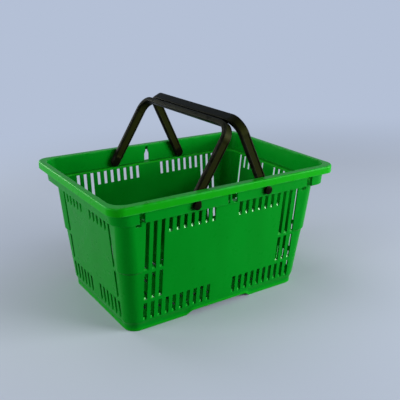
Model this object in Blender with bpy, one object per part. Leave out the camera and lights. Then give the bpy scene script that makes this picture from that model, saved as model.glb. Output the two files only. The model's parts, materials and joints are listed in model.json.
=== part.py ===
"""Stackable plastic shopping basket: one moulded tub and two moulded handles that fold down inside its rim.

Metres, +Z up. The origin is on the floor under the middle of the tub, +X runs along its length and
the front long side faces -Y.
"""
import math

import bmesh
import bpy

# Driving dimensions of the tub
LENGTH = 0.432
WIDTH = 0.305
HEIGHT = 0.231
BASE_LENGTH = 0.348
BASE_WIDTH = 0.223
WALL = 0.0026
WALL_CORNER = 0.0215
FLOOR_UNDER = 0.0085
FLOOR_THICK = 0.0026
FLOOR_FILLET = 0.006
FOOT_WIDTH = 0.0032
FOOT_EDGE = 0.0009

# Corner posts: the upper part of each corner stands out over the lower part
POST_STEP_Z = 0.1085
POST_STEP_RISE = 0.0025
POST_OUT = 0.0025
POST_OUT_TOP = 0.0004

# Ledge round the inside, and the upright band above it
LEDGE_Z = 0.1965
LEDGE_THICK = 0.0026
RIM_REACH_ENDS = 0.0233
RIM_REACH_SIDES = 0.0222
LEDGE_ENDS = 0.0117
LEDGE_SIDES = 0.0104
BAND_ENDS = 0.003
BAND_SIDES = 0.0036
BAND_LEAN_ENDS = 0.004
BAND_LEAN_SIDES = 0.001
BAND_CORNER = 0.026
BAND_CORNER_OUT = 0.0018
BAND_EDGE = 0.001

# Rolled rim with its hanging lip
RIM_THICK = 0.0026
LIP_THICK = 0.0026
LIP_DROP = 0.013
LIP_CORNER = 0.022
RIM_ROUND = 0.0026
RIM_ROUND_INNER = 0.0012

# Slots in the walls, in columns counted outwards from the middle of each side
SLOT_WIDTH = 0.006
SLOT_SILL = 0.0026
SIDE_FIRST = 0.0265
SIDE_PITCH = 0.0134
END_FIRST = 0.0178
END_PITCH = 0.0138
SIDE_TALL_COLUMNS = 3
END_TALL_COLUMNS = 1
TOP_ROW = (0.1703, 0.1955)
TALL_UPPER = (0.1150, 0.1955)
TALL_LOWER = (0.0617, 0.1042)
BOTTOM_ROW = (0.0243, 0.0505)
SLOT_MARGIN = 0.001

# Drain slots in the floor
DRAIN_WIDTH = 0.006
DRAIN_LENGTH = 0.074
DRAIN_PITCH = 0.024
DRAIN_ROW_GAP = 0.022
DRAIN_BORDER = 0.016

# Raised cut-out in the foot under the middle of each long side
FOOT_ARCH_BOTTOM = 0.132
FOOT_ARCH_TOP = 0.113
FOOT_ARCH_RISE = 0.0072

# Openings at the front: a notch near each corner through band, ledge and wall, and a barred window
NOTCH_FROM_CORNER = 0.01135
NOTCH_WIDTH = 0.0095
NOTCH_HEAD = 0.0018
NOTCH_BOTTOM_Z = 0.1876
WINDOW_Z = (0.1986, 0.2155)
WINDOW_SLIT = (-0.0092, -0.0058)
WINDOW_MAIN = (-0.0019, 0.0089)
WINDOW_CUT = 0.0052

# Bottle-shaped keyhole in the back band
KEYHOLE_Z = (0.2003, 0.2131, 0.2185, 0.2272)
KEYHOLE_WIDTH = 0.0102
KEYHOLE_NECK = 0.005

# Handles
HANDLE_REACH = 0.1357
HANDLE_WIDTH = 0.017
HANDLE_THICK = 0.0086
HANDLE_ROUND = 0.0024
BEND_RADIUS = 0.028
PIVOT_X = 0.0697
CHANNEL_DEPTH = 0.0009
CHANNEL_BORDER = 0.0032
CHANNEL_RUNOUT = 0.006
PEG_RADIUS = 0.0043
PEG_CLEARANCE = 0.0004
PEG_ROOT = 0.003
HEAD_RADIUS = 0.007
HEAD_LOBE_RADIUS = 0.0039
HEAD_LOBE_REACH = 0.0052
HEAD_THICK = 0.0046
HEAD_CHAMFER = 0.001
SIDE_CLEARANCE = 0.0007
SEAT_GAP = 0.0003
LEFT_LEAN = math.radians(31.3)

# Facets
CORNER_SEGMENTS = 5
BEND_SEGMENTS = 6
ROUND_SEGMENTS = 2
PEG_SEGMENTS = 24

# Sizes that follow from the ones above
SLOPE_ENDS = (LENGTH / 2 - RIM_REACH_ENDS - BASE_LENGTH / 2) / LEDGE_Z
SLOPE_SIDES = (WIDTH / 2 - RIM_REACH_SIDES - BASE_WIDTH / 2) / LEDGE_Z
LEDGE_TOP = LEDGE_Z + LEDGE_THICK
FLOOR_TOP = FLOOR_UNDER + FLOOR_THICK
RIM_UNDER = HEIGHT - RIM_THICK
LIP_BOTTOM = HEIGHT - LIP_DROP


def wall_half(z):
    """Half length and half width of the outside of the sloping wall at height z."""
    return BASE_LENGTH / 2 + SLOPE_ENDS * z, BASE_WIDTH / 2 + SLOPE_SIDES * z


BAND_IN_X = wall_half(LEDGE_TOP)[0] - WALL + LEDGE_ENDS
BAND_IN_Y = wall_half(LEDGE_TOP)[1] - WALL + LEDGE_SIDES
BAND_OUT_X = BAND_IN_X + BAND_ENDS
BAND_OUT_Y = BAND_IN_Y + BAND_SIDES
NOTCH_X = BAND_OUT_X - BAND_CORNER - NOTCH_FROM_CORNER - NOTCH_WIDTH

LEG_OUT = BAND_IN_Y - SIDE_CLEARANCE
PIVOT_Z = LEDGE_TOP + SEAT_GAP + HANDLE_WIDTH / 2
HEAD_SEAT = BAND_OUT_Y + PEG_CLEARANCE


def band_lean(z):
    """How far the band's inner faces lean out at height z, at the ends and along the sides."""
    share = max(z - LEDGE_TOP, 0.0) / (HEIGHT - RIM_ROUND_INNER - LEDGE_TOP)
    share = min(share, 1.0)
    return BAND_LEAN_ENDS * share, BAND_LEAN_SIDES * share


def clear_scene():
    for item in list(bpy.data.objects):
        bpy.data.objects.remove(item, do_unlink=True)


def plastic(name, colour, roughness):
    material = bpy.data.materials.new(name)
    material.use_nodes = True
    shader = material.node_tree.nodes["Principled BSDF"]
    shader.inputs["Base Color"].default_value = (*colour, 1.0)
    shader.inputs["Roughness"].default_value = roughness
    shader.inputs["Metallic"].default_value = 0.0
    return material


def new_object(name, mesh_builder, material=None):
    """A named object whose mesh is what the builder left in it, with its faces turned outwards."""
    bmesh.ops.recalc_face_normals(mesh_builder, faces=mesh_builder.faces)
    mesh = bpy.data.meshes.new(name)
    mesh_builder.to_mesh(mesh)
    mesh_builder.free()
    if material:
        mesh.materials.append(material)
    mesh.shade_smooth()
    mesh.set_sharp_from_angle(angle=math.radians(32.0))
    item = bpy.data.objects.new(name, mesh)
    bpy.context.collection.objects.link(item)
    return item


def new_tool(name, mesh_builder):
    """A cutting or joining shape that isn't a piece of its own."""
    tool = new_object(name, mesh_builder)
    tool.hide_render = True
    tool.display_type = "WIRE"
    return tool


def boolean(item, tool, operation):
    modifier = item.modifiers.new(tool.name, "BOOLEAN")
    modifier.operation = operation
    modifier.solver = "EXACT"
    modifier.object = tool


def loft(mesh_builder, rings):
    """Closed skin through rings of equal length, with the first and the last ring capped."""
    rows = [[mesh_builder.verts.new(point) for point in ring] for ring in rings]
    count = len(rows[0])
    for low, high in zip(rows, rows[1:]):
        for i in range(count):
            j = (i + 1) % count
            mesh_builder.faces.new((low[i], low[j], high[j], high[i]))
    mesh_builder.faces.new(list(reversed(rows[0])))
    mesh_builder.faces.new(rows[-1])


def prism(mesh_builder, outline, axis, start, stop):
    """Extrude a flat outline along X, Y or Z. The outline gives the other two coordinates in order."""
    place = {
        "x": lambda p, d: (d, p[0], p[1]),
        "y": lambda p, d: (p[0], d, p[1]),
        "z": lambda p, d: (p[0], p[1], d),
    }[axis]
    loft(mesh_builder, [[place(p, d) for p in outline] for d in (start, stop)])


def tub_ring(half_x, half_y, radius, z, side, end):
    """Rounded rectangle whose sides may lie further in than its corners.

    side and end each hold, for the long side and the short side: how far along the side it stops
    following the corner, how far in it lies there, and the same two values nearer the corner.
    """
    side_at, side_in, side_near, side_near_in = side
    end_at, end_in, end_near, end_near_in = end
    quarter = [(half_x - end_in, end_at), (half_x - end_near_in, end_near)]
    for step in range(CORNER_SEGMENTS + 1):
        angle = math.pi / 2 * step / CORNER_SEGMENTS
        x = half_x - radius + radius * math.cos(angle)
        y = half_y - radius + radius * math.sin(angle)
        quarter.append((x, y))
    quarter += [(side_near, half_y - side_near_in), (side_at, half_y - side_in)]
    flat = quarter + [(-x, y) for x, y in reversed(quarter)]
    flat += [(-x, -y) for x, y in quarter] + [(x, -y) for x, y in reversed(quarter)]
    return [(x, y, z) for x, y in flat]


def slot_columns(first, pitch, flat_half):
    """Places of the slot columns on one side of the middle, as many as fit on the flat of the wall."""
    room = flat_half - SLOT_WIDTH / 2 - SLOT_MARGIN - first
    return [first + pitch * k for k in range(int(room / pitch) + 1)]


def flat_halves(z):
    half_x, half_y = wall_half(z)
    return half_x - WALL_CORNER, half_y - WALL_CORNER


SIDE_COLUMNS = slot_columns(SIDE_FIRST, SIDE_PITCH, flat_halves(BOTTOM_ROW[0])[0])
END_COLUMNS = slot_columns(END_FIRST, END_PITCH, flat_halves(BOTTOM_ROW[0])[1])


def wall_ring(z, inset=0.0, stand_out=0.0):
    """Ring of the sloping wall at height z. The corner posts stand out beyond the last slots."""
    half_x, half_y = wall_half(z)
    flat_x, flat_y = flat_halves(z)
    slot_x = min(SIDE_COLUMNS[-1] + SLOT_WIDTH / 2, flat_x - 2 * SLOT_MARGIN)
    slot_y = min(END_COLUMNS[-1] + SLOT_WIDTH / 2, flat_y - 2 * SLOT_MARGIN)
    side = (slot_x, stand_out, (slot_x + flat_x) / 2, stand_out / 2)
    end = (slot_y, stand_out, (slot_y + flat_y) / 2, stand_out / 2)
    reach = stand_out - inset
    return tub_ring(half_x + reach, half_y + reach, WALL_CORNER + reach, z, side, end)


def rim_ring(half_x, half_y, radius, z, side_inset=0.0):
    """Ring of the band or the rim. The long sides of the band lie in from its corners."""
    side = (NOTCH_X, side_inset, NOTCH_X + NOTCH_WIDTH, 0.0)
    end = (half_y - 2 * radius, 0.0, half_y - 1.5 * radius, 0.0)
    return tub_ring(half_x, half_y, radius, z, side, end)


def tub_rings():
    """Section of the tub from the middle of its underside, up outside, over the rim and down inside."""
    lip_x, lip_y = LENGTH / 2, WIDTH / 2
    corner_y = BAND_OUT_Y + BAND_CORNER_OUT
    soft = RIM_ROUND * (1 - math.sqrt(0.5))
    rings = [
        wall_ring(FLOOR_UNDER, inset=FOOT_WIDTH),
        wall_ring(0.0, inset=FOOT_WIDTH),
        wall_ring(0.0, inset=FOOT_EDGE),
        wall_ring(FOOT_EDGE),
        wall_ring(POST_STEP_Z),
        wall_ring(POST_STEP_Z + POST_STEP_RISE, stand_out=POST_OUT),
        wall_ring(LEDGE_Z, stand_out=POST_OUT_TOP),
    ]
    for inset, z in ((BAND_EDGE, LEDGE_Z + BAND_EDGE), (0.0, LEDGE_Z + 2 * BAND_EDGE), (0.0, RIM_UNDER)):
        end_x = BAND_OUT_X + band_lean(z)[0] - inset
        rings.append(rim_ring(end_x, corner_y - inset, BAND_CORNER - inset, z, side_inset=BAND_CORNER_OUT))
    for inset, z in (
        (LIP_THICK, RIM_UNDER),
        (LIP_THICK, LIP_BOTTOM),
        (0.0, LIP_BOTTOM),
        (0.0, HEIGHT - RIM_ROUND),
        (soft, HEIGHT - soft),
        (RIM_ROUND, HEIGHT),
    ):
        rings.append(rim_ring(lip_x - inset, lip_y - inset, LIP_CORNER - inset, z))
    inner_corner = BAND_CORNER - BAND_ENDS
    for out, z in ((RIM_ROUND_INNER, HEIGHT), (0.0, HEIGHT - RIM_ROUND_INNER), (0.0, LEDGE_TOP)):
        lean_x, lean_y = band_lean(z)
        rings.append(rim_ring(BAND_IN_X + lean_x + out, BAND_IN_Y + lean_y + out, inner_corner + out, z))
    bend = FLOOR_FILLET * (1 - math.sqrt(0.5))
    rings += [
        wall_ring(LEDGE_TOP, inset=WALL),
        wall_ring(FLOOR_TOP + FLOOR_FILLET, inset=WALL),
        wall_ring(FLOOR_TOP + bend, inset=WALL + bend),
        wall_ring(FLOOR_TOP, inset=WALL + FLOOR_FILLET),
    ]
    return rings


def add_slot(mesh_builder, axis, place, levels, half_at):
    """One bar that cuts a slot in two opposite walls, each with a sill that slopes down outwards."""
    bottom, top = levels
    face = half_at(bottom)
    past = half_at(top) + WALL
    sill = bottom + SLOT_SILL
    low = bottom - (past - face) * SLOT_SILL / WALL
    outline = [(past, top), (-past, top), (-past, low), (-face + WALL, sill), (face - WALL, sill), (past, low)]
    prism(mesh_builder, outline, axis, place - SLOT_WIDTH / 2, place + SLOT_WIDTH / 2)


def side_slot_cutter():
    """Bars along Y for the slots of the two long sides. The outermost columns are tall."""
    cutter = bmesh.new()
    for k, column in enumerate(SIDE_COLUMNS):
        tall = k >= len(SIDE_COLUMNS) - SIDE_TALL_COLUMNS
        rows = (TALL_UPPER, TALL_LOWER, BOTTOM_ROW) if tall else (TOP_ROW, BOTTOM_ROW)
        for levels in rows:
            for place in (-column, column):
                add_slot(cutter, "x", place, levels, lambda z: wall_half(z)[1])
    return new_tool("side_slot_cutter", cutter)


def end_slot_cutter():
    """Bars along X for the slots of the two short sides."""
    cutter = bmesh.new()
    for k, column in enumerate(END_COLUMNS):
        tall = k >= len(END_COLUMNS) - END_TALL_COLUMNS
        rows = (TALL_UPPER, TALL_LOWER, BOTTOM_ROW) if tall else (TOP_ROW, BOTTOM_ROW)
        for levels in rows:
            for place in (-column, column):
                add_slot(cutter, "y", place, levels, lambda z: wall_half(z)[0])
    return new_tool("end_slot_cutter", cutter)


def drain_cutter():
    """Bars along Z for two rows of drain slots in the floor."""
    cutter = bmesh.new()
    half_x = wall_half(FLOOR_TOP)[0] - WALL - FLOOR_FILLET - DRAIN_BORDER
    count = int(half_x / DRAIN_PITCH)
    near, far = DRAIN_ROW_GAP / 2, DRAIN_ROW_GAP / 2 + DRAIN_LENGTH
    for k in range(-count, count + 1):
        left, right = k * DRAIN_PITCH - DRAIN_WIDTH / 2, k * DRAIN_PITCH + DRAIN_WIDTH / 2
        for low, high in ((near, far), (-far, -near)):
            outline = [(left, low), (right, low), (right, high), (left, high)]
            prism(cutter, outline, "z", FLOOR_UNDER - WALL, FLOOR_TOP + WALL)
    return new_tool("drain_cutter", cutter)


def foot_arch_cutter():
    """Trapezoid that lifts the foot under the middle of both long sides."""
    cutter = bmesh.new()
    wide, narrow = FOOT_ARCH_BOTTOM / 2, FOOT_ARCH_TOP / 2
    flare = (wide - narrow) / FOOT_ARCH_RISE * WALL
    outline = [(-wide - flare, -WALL), (wide + flare, -WALL)]
    outline += [(narrow, FOOT_ARCH_RISE), (-narrow, FOOT_ARCH_RISE)]
    prism(cutter, outline, "y", -BASE_WIDTH / 2 - WALL, BASE_WIDTH / 2 + WALL)
    return new_tool("foot_arch_cutter", cutter)


def pivot_hole_cutter():
    """Round bars along Y for the four pivot holes."""
    cutter = bmesh.new()
    past = BAND_OUT_Y + BAND_CORNER_OUT
    for x in (-PIVOT_X, PIVOT_X):
        outline = circle(x, PIVOT_Z, PEG_RADIUS + PEG_CLEARANCE)
        prism(cutter, outline, "y", -past, past)
    return new_tool("pivot_hole_cutter", cutter)


def circle(x, z, radius):
    turn = 2 * math.pi / PEG_SEGMENTS
    return [(x + radius * math.cos(turn * i), z + radius * math.sin(turn * i)) for i in range(PEG_SEGMENTS)]


def band_opening_cutter():
    """Notches and barred window of the front, and the keyhole of the back band."""
    cutter = bmesh.new()
    inside, outside = BAND_IN_Y - SEAT_GAP, BAND_OUT_Y + 2 * BAND_CORNER_OUT
    notch_inside = wall_half(NOTCH_BOTTOM_Z)[1] - 2 * WALL
    for side in (-1, 1):
        edges = sorted((side * NOTCH_X, side * (NOTCH_X + NOTCH_WIDTH)))
        low, high = NOTCH_BOTTOM_Z, LIP_BOTTOM - NOTCH_HEAD
        outline = [(edges[0], low), (edges[1], low), (edges[1], high), (edges[0], high)]
        prism(cutter, outline, "y", -outside, -notch_inside)
    low, high = WINDOW_Z
    left, right = WINDOW_SLIT
    prism(cutter, [(left, low), (right, low), (right, high), (left, high)], "y", -outside, -inside)
    left, right = WINDOW_MAIN
    outline = [(left + WINDOW_CUT, low), (right, low), (right, high)]
    outline += [(left, high), (left, low + WINDOW_CUT)]
    prism(cutter, outline, "y", -outside, -inside)
    bottom, shoulder, neck, top = KEYHOLE_Z
    wide, narrow = KEYHOLE_WIDTH / 2, KEYHOLE_NECK / 2
    half = [(wide, bottom), (wide, shoulder), (narrow, neck), (narrow, top)]
    outline = half + [(-x, z) for x, z in reversed(half)]
    prism(cutter, outline, "y", inside, outside)
    return new_tool("band_opening_cutter", cutter)


def build_tub():
    skin = bmesh.new()
    loft(skin, tub_rings())
    tub = new_object("basket_body", skin, plastic("green polypropylene", (0.003, 0.25, 0.03), 0.38))
    for cutter in (
        side_slot_cutter(),
        end_slot_cutter(),
        drain_cutter(),
        foot_arch_cutter(),
        pivot_hole_cutter(),
        band_opening_cutter(),
    ):
        boolean(tub, cutter, "DIFFERENCE")
    return tub


def handle_section(width_share, channel):
    """Section of a handle as (across, through): rounded edges and a shallow channel in both faces."""
    half_w, half_t = HANDLE_WIDTH / 2, HANDLE_THICK / 2
    border = half_w - CHANNEL_BORDER
    floor = border - CHANNEL_DEPTH
    quarter = []
    for step in range(ROUND_SEGMENTS + 1):
        angle = math.pi / 2 * step / ROUND_SEGMENTS
        across = half_w - HANDLE_ROUND + HANDLE_ROUND * math.cos(angle)
        quarter.append((across, half_t - HANDLE_ROUND + HANDLE_ROUND * math.sin(angle)))
    quarter += [(border, half_t), (floor, half_t - channel)]
    points = quarter + [(-a, t) for a, t in reversed(quarter)]
    points += [(-a, -t) for a, t in quarter] + [(a, -t) for a, t in reversed(quarter)]
    return [(a * width_share, t) for a, t in points]


def handle_stations():
    """Stations of half the handle from a leg's round end to the middle of the bend's far end.

    Each is the middle of the section, the direction that the outer face looks, its share of the full
    width and the depth of its channel. The handle stands upright over its pivot.
    """
    middle = LEG_OUT - HANDLE_THICK / 2
    bend_y, bend_z = LEG_OUT - BEND_RADIUS, HANDLE_REACH - BEND_RADIUS
    stations = []
    for degrees in (82, 64, 44, 22):
        angle = math.radians(degrees)
        stations.append((middle, -HANDLE_WIDTH / 2 * math.sin(angle), 0.0, math.cos(angle), 0.0))
    channel_start = HANDLE_WIDTH / 2
    stations.append((middle, 0.0, 0.0, 1.0, 0.0))
    stations.append((middle, channel_start, 0.0, 1.0, 0.0))
    stations.append((middle, channel_start + CHANNEL_RUNOUT, 0.0, 1.0, CHANNEL_DEPTH))
    stations.append((middle, bend_z - CHANNEL_RUNOUT, 0.0, 1.0, CHANNEL_DEPTH))
    stations.append((middle, bend_z, 0.0, 1.0, 0.0))
    radius = BEND_RADIUS - HANDLE_THICK / 2
    for step in range(1, BEND_SEGMENTS + 1):
        angle = math.pi / 2 * step / BEND_SEGMENTS
        y, z = bend_y + radius * math.cos(angle), bend_z + radius * math.sin(angle)
        stations.append((y, z, angle, 1.0, 0.0))
    return stations


def handle_rings():
    half = handle_stations()
    stations = half + [(-y, z, math.pi - angle, share, deep) for y, z, angle, share, deep in reversed(half)]
    rings = []
    for y, z, angle, share, deep in stations:
        ring = []
        for across, through in handle_section(share, deep):
            ring.append((across, y + through * math.cos(angle), z + through * math.sin(angle)))
        rings.append(ring)
    return rings


def head_outline(inset):
    """Round peg head with a lobe that points up the leg, drawn in by an inset."""
    tilt = math.asin((HEAD_RADIUS - HEAD_LOBE_RADIUS) / HEAD_LOBE_REACH)
    lobe_points = PEG_SEGMENTS // 3
    round_points = PEG_SEGMENTS - lobe_points
    outline = []
    for i in range(lobe_points):
        angle = tilt + (math.pi - 2 * tilt) * i / (lobe_points - 1)
        radius = HEAD_LOBE_RADIUS - inset
        outline.append((radius * math.cos(angle), HEAD_LOBE_REACH + radius * math.sin(angle)))
    for i in range(round_points):
        angle = math.pi - tilt + (math.pi + 2 * tilt) * (i + 0.5) / round_points
        radius = HEAD_RADIUS - inset
        outline.append((radius * math.cos(angle), radius * math.sin(angle)))
    return outline


def peg_tool(handle):
    """The two pegs of a handle, each with a shaft through the band and a lobed head outside it."""
    pegs = bmesh.new()
    head = head_outline(0.0)
    shaft = [(PEG_RADIUS * x / math.hypot(x, z), PEG_RADIUS * z / math.hypot(x, z)) for x, z in head]
    chamfer_start = HEAD_SEAT + HEAD_THICK - HEAD_CHAMFER
    sections = [
        (shaft, LEG_OUT - PEG_ROOT),
        (shaft, HEAD_SEAT),
        (head, HEAD_SEAT),
        (head, chamfer_start),
        (head_outline(HEAD_CHAMFER), HEAD_SEAT + HEAD_THICK),
    ]
    for side in (-1, 1):
        loft(pegs, [[(x, side * y, z) for x, z in outline] for outline, y in sections])
    tool = new_tool(handle.name + "_pegs", pegs)
    tool.parent = handle
    return tool


def build_handle(name, side, lean, material):
    """One handle with its origin on its pivot axis, leaning inwards over the tub."""
    skin = bmesh.new()
    loft(skin, handle_rings())
    handle = new_object(name, skin, material)
    handle.location = (side * PIVOT_X, 0.0, PIVOT_Z)
    handle.rotation_euler = (0.0, -side * lean, 0.0)
    boolean(handle, peg_tool(handle), "UNION")
    return handle


def grip_outline():
    """Section of the grip across its length, as (across, up the leg) from the pivot."""
    middle = HANDLE_REACH - HANDLE_THICK / 2
    half_w, half_t = HANDLE_WIDTH / 2 - HANDLE_ROUND, HANDLE_THICK / 2 - HANDLE_ROUND
    steps = 32
    points = []
    for i in range(steps):
        angle = 2 * math.pi * (i + 0.5) / steps
        across = math.copysign(half_w, math.cos(angle)) + HANDLE_ROUND * math.cos(angle)
        up = math.copysign(half_t, math.sin(angle)) + HANDLE_ROUND * math.sin(angle)
        points.append((across, middle + up))
    return points


def distance_to_grip(across, up):
    """Signed distance from a point, in the grip's own axes, to its rounded rectangle."""
    out_w = abs(across) - (HANDLE_WIDTH / 2 - HANDLE_ROUND)
    out_t = abs(up - HANDLE_REACH + HANDLE_THICK / 2) - (HANDLE_THICK / 2 - HANDLE_ROUND)
    outside = math.hypot(max(out_w, 0.0), max(out_t, 0.0))
    return outside + min(max(out_w, out_t), 0.0) - HANDLE_ROUND


def gap_one_way(lean_a, lean_b):
    """Least distance from the outline of grip b to grip a, when both lean inwards."""
    sin_a, cos_a, sin_b, cos_b = math.sin(lean_a), math.cos(lean_a), math.sin(lean_b), math.cos(lean_b)
    gaps = []
    for across, up in grip_outline():
        x = 2 * PIVOT_X - (across * cos_b + up * sin_b)
        z = up * cos_b - across * sin_b
        gaps.append(distance_to_grip(x * cos_a - z * sin_a, x * sin_a + z * cos_a))
    return min(gaps)


def resting_gap(lean):
    return min(gap_one_way(LEFT_LEAN, lean), gap_one_way(lean, LEFT_LEAN))


def resting_lean():
    """Lean at which the right handle, coming up from outside, meets the left one."""
    step = math.radians(0.5)
    low = 0.0
    while resting_gap(low + step) > SEAT_GAP and low < math.radians(80.0):
        low += step
    high = low + step
    for _ in range(30):
        lean = (low + high) / 2
        low, high = (lean, high) if resting_gap(lean) > SEAT_GAP else (low, lean)
    return low


def folded_rise():
    """Angle above level at which a folded handle meets the leaning band at the end of the tub."""
    rise = 0.0
    while rise < math.radians(60.0):
        room = []
        for across, up in grip_outline():
            x = PIVOT_X + up * math.cos(rise) - across * math.sin(rise)
            z = PIVOT_Z + up * math.sin(rise) + across * math.cos(rise)
            if z < HEIGHT:
                room.append(BAND_IN_X + band_lean(z)[0] - x)
        if not room or min(room) >= SEAT_GAP:
            break
        rise += math.radians(0.1)
    return rise


def main():
    clear_scene()
    build_tub()
    black = plastic("black polypropylene", (0.012, 0.012, 0.013), 0.42)
    right_lean = resting_lean()
    build_handle("handle_left", -1, LEFT_LEAN, black)
    build_handle("handle_right", 1, right_lean, black)
    turns = [math.degrees(lean + math.pi / 2 - folded_rise()) for lean in (LEFT_LEAN, right_lean)]
    print("pivot height", PIVOT_Z, "right lean", math.degrees(right_lean), "turns", turns)


main()
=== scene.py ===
"""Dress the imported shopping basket: a finely moulded tub, its two handles and a plain studio.

Metres, +Z up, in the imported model's own frame. The origin is on the floor under the middle of the tub,
+X runs along its length and the front long side faces -Y.
"""

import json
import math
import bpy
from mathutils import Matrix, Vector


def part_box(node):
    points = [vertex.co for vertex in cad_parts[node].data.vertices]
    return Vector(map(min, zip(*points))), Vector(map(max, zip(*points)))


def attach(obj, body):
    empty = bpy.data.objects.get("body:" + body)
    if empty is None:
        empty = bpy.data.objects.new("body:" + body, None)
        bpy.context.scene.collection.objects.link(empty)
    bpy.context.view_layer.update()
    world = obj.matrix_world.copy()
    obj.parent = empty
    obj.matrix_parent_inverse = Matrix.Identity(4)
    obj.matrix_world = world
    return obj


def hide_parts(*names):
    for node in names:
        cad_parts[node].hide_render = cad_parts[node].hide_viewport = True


bl_info = {
    "name": "Shopping basket",
    "version": (1, 0, 0),
    "blender": (4, 5, 0),
    "location": "3D View > Sidebar > Basket",
    "description": "Builds the moulded tub and the folding handles of a shopping basket on its packed frame",
    "category": "Add Mesh",
}

import bpy
import numpy as np
from mathutils import Matrix, Vector

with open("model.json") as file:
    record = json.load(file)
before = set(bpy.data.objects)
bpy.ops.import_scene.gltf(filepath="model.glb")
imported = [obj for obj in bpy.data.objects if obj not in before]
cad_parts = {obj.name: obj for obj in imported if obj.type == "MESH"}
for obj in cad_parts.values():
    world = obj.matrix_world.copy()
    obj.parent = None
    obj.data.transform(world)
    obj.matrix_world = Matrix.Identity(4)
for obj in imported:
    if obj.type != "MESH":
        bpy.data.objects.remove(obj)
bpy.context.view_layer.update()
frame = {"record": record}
TUB_LOW, TUB_HIGH = (np.array(corner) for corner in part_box("basket_body"))
PIVOTS = {joint["child"]: joint["pos_m"] for joint in frame["record"]["behaviour"]["joints"]}

MM = 0.001
CORNER_FACETS = 14   # facets in each rounded corner of the tub, an even number
HOLE_CELLS = 6       # cells along each side of the square block that becomes a round hole
HALF_SIDE = 24       # lines of the net on each half of a long side
HALF_END = 12        # lines of the net on each half of a short side
HOLE_LINE = 6        # line of a half side where the block of a pivot hole starts
HOLE_ROW = 24        # row of the through lines where it starts
END_ROWS = 13        # rings round the end of a handle's leg
BEND_ROWS = 16       # rings round a handle's bend


# ---------------------------------------------------------------- settings

def length(label, text, value):
    """A length setting whose default is given in millimetres."""
    return bpy.props.FloatProperty(
        name=label, description=text, default=value * MM, subtype="DISTANCE", unit="LENGTH", precision=5)


def levels(label, text, *values):
    """Several lengths that belong together, given in millimetres."""
    return bpy.props.FloatVectorProperty(
        name=label, description=text, default=[v * MM for v in values], size=len(values),
        subtype="XYZ" if len(values) == 3 else "NONE", unit="LENGTH", precision=5)


def colour(label, text, value):
    return bpy.props.StringProperty(name=label, description=text + ", as an sRGB hex value", default=value)


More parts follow.
